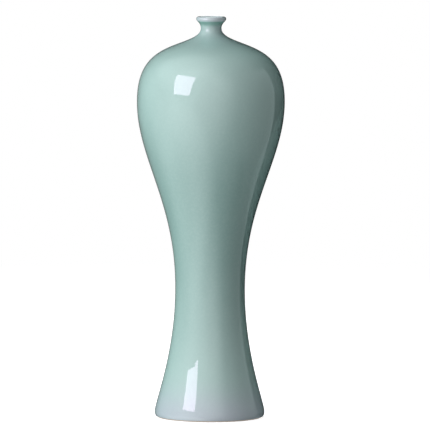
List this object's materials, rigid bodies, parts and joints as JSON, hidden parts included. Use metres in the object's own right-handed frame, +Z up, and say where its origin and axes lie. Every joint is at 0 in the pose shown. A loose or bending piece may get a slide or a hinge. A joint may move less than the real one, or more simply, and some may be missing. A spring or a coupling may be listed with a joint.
{
  "type": "porcelain vase",
  "caption": "Tall small-mouthed celadon porcelain vase: luted sections under outer, inner and base glaze, standing on a bare foot ring.",
  "frame": {"origin": "centre of the foot ring, on the surface the vase stands on", "axes": "+Z up along the vase's axis of revolution, from the foot to the mouth; X and Y are free, because the vase is round"},
  "size_m": [0.1472, 0.1472, 0.4],
  "materials": {
    "celadon_glaze": "glossy pale blue-green celadon glaze, paler where it runs thin on the lip",
    "liner_glaze": "thin glossy pale celadon glaze",
    "porcelain": "matt unglazed white porcelain",
    "slip": "matt fired porcelain slip"
  },
  "bodies": {
    "root": {"foot_section": "porcelain", "trunk_section": "porcelain", "shoulder_section": "porcelain", "neck_section": "porcelain", "lower_slip_joint": "slip", "upper_slip_joint": "slip", "neck_slip_joint": "slip", "outer_glaze": "celadon_glaze", "inner_glaze": "liner_glaze", "base_glaze": "liner_glaze"}
  },
  "joints": []
}
